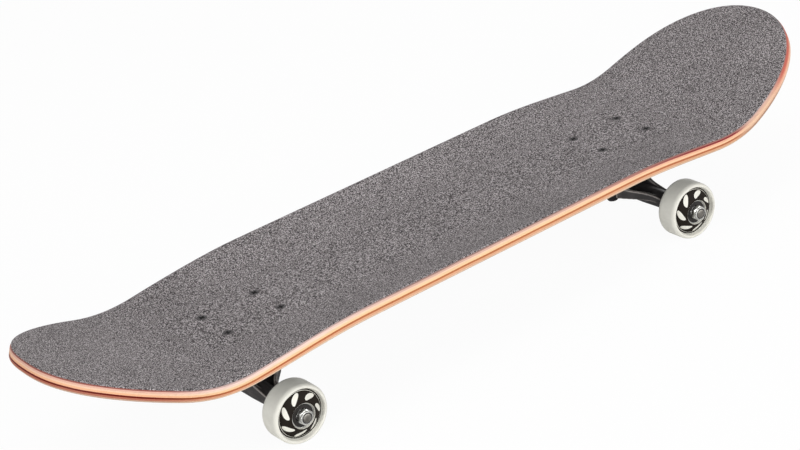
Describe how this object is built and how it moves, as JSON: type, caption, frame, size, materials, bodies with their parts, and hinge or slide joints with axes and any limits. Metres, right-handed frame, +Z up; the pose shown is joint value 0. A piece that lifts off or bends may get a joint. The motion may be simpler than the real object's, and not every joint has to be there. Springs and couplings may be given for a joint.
{
  "type": "skateboard",
  "caption": "Street skateboard: pressed maple deck with kicked ends and grip tape, two sprung steering trucks and four free-rolling urethane wheels on bearings.",
  "frame": {"origin": "on the ground under the middle of the board, midway between the two trucks", "axes": "+X along the board towards the nose, +Y to the rider's left facing the nose, +Z up from the ground"},
  "size_m": [0.8206, 0.2106, 0.1415],
  "materials": {
    "maple": "clear lacquered seven-ply maple with dyed plies",
    "grip": "black abrasive grip tape, worn to grey",
    "cast_black": "cast, satin black paint",
    "kingpin_steel": "plain machined steel",
    "nut_steel": "bright zinc plate",
    "black_steel": "black oxide",
    "bushing_urethane": "black urethane",
    "wheel_urethane": "off-white urethane with a black printed ring",
    "bearing_steel": "polished bearing steel"
  },
  "bodies": {
    "board": {"deck": "maple", "grip_tape": "grip", "front_truck_bolt_1": "black_steel", "front_truck_nut_1": "black_steel", "front_truck_bolt_2": "black_steel", "front_truck_nut_2": "black_steel", "front_truck_bolt_3": "black_steel", "front_truck_nut_3": "black_steel", "front_truck_bolt_4": "black_steel", "front_truck_nut_4": "black_steel", "front_baseplate": "cast_black", "front_pivot_cup": "bushing_urethane", "front_kingpin": "kingpin_steel", "front_kingpin_nut": "black_steel", "front_board_side_washer": "black_steel", "front_road_side_washer": "black_steel", "front_board_side_bushing": "bushing_urethane", "front_road_side_bushing": "bushing_urethane", "rear_truck_bolt_1": "black_steel", "rear_truck_nut_1": "black_steel", "rear_truck_bolt_2": "black_steel", "rear_truck_nut_2": "black_steel", "rear_truck_bolt_3": "black_steel", "rear_truck_nut_3": "black_steel", "rear_truck_bolt_4": "black_steel", "rear_truck_nut_4": "black_steel", "rear_baseplate": "cast_black", "rear_pivot_cup": "bushing_urethane", "rear_kingpin": "kingpin_steel", "rear_kingpin_nut": "black_steel", "rear_board_side_washer": "black_steel", "rear_road_side_washer": "black_steel", "rear_board_side_bushing": "bushing_urethane", "rear_road_side_bushing": "bushing_urethane"},
    "front_hanger_assembly": {"front_hanger": "cast_black", "front_axle": "kingpin_steel", "front_left_bearing_spacer": "bearing_steel", "front_left_axle_nut": "nut_steel", "front_right_bearing_spacer": "bearing_steel", "front_right_axle_nut": "nut_steel"},
    "front_left_wheel_assembly": {"front_left_wheel": "wheel_urethane", "front_left_outer_bearing": "bearing_steel", "front_left_inner_bearing": "bearing_steel"},
    "front_right_wheel_assembly": {"front_right_wheel": "wheel_urethane", "front_right_outer_bearing": "bearing_steel", "front_right_inner_bearing": "bearing_steel"},
    "rear_hanger_assembly": {"rear_hanger": "cast_black", "rear_axle": "kingpin_steel", "rear_left_bearing_spacer": "bearing_steel", "rear_left_axle_nut": "nut_steel", "rear_right_bearing_spacer": "bearing_steel", "rear_right_axle_nut": "nut_steel"},
    "rear_left_wheel_assembly": {"rear_left_wheel": "wheel_urethane", "rear_left_outer_bearing": "bearing_steel", "rear_left_inner_bearing": "bearing_steel"},
    "rear_right_wheel_assembly": {"rear_right_wheel": "wheel_urethane", "rear_right_outer_bearing": "bearing_steel", "rear_right_inner_bearing": "bearing_steel"}
  },
  "joints": [
    {"name": "front_steer", "type": "hinge", "parent": "board", "child": "front_hanger_assembly", "pos_m": [0.19246, 0, 0.0457], "axis": [0.9063, 0, 0.4226], "range_deg": [-12, 12], "stiffness_Nm_per_rad": 35, "deforming": ["front_board_side_bushing", "front_road_side_bushing"]},
    {"name": "front_left_spin", "type": "hinge", "parent": "front_hanger_assembly", "child": "front_left_wheel_assembly", "pos_m": [0.22126, 0.0814, 0.0265], "axis": [0, 1, 0], "continuous": true},
    {"name": "front_right_spin", "type": "hinge", "parent": "front_hanger_assembly", "child": "front_right_wheel_assembly", "pos_m": [0.22126, -0.0814, 0.0265], "axis": [0, 1, 0], "continuous": true},
    {"name": "rear_steer", "type": "hinge", "parent": "board", "child": "rear_hanger_assembly", "pos_m": [-0.19246, 0, 0.0457], "axis": [-0.9063, 0, 0.4226], "range_deg": [-12, 12], "stiffness_Nm_per_rad": 35, "deforming": ["rear_board_side_bushing", "rear_road_side_bushing"]},
    {"name": "rear_left_spin", "type": "hinge", "parent": "rear_hanger_assembly", "child": "rear_left_wheel_assembly", "pos_m": [-0.22126, 0.0814, 0.0265], "axis": [0, 1, 0], "continuous": true},
    {"name": "rear_right_spin", "type": "hinge", "parent": "rear_hanger_assembly", "child": "rear_right_wheel_assembly", "pos_m": [-0.22126, -0.0814, 0.0265], "axis": [0, 1, 0], "continuous": true}
  ]
}
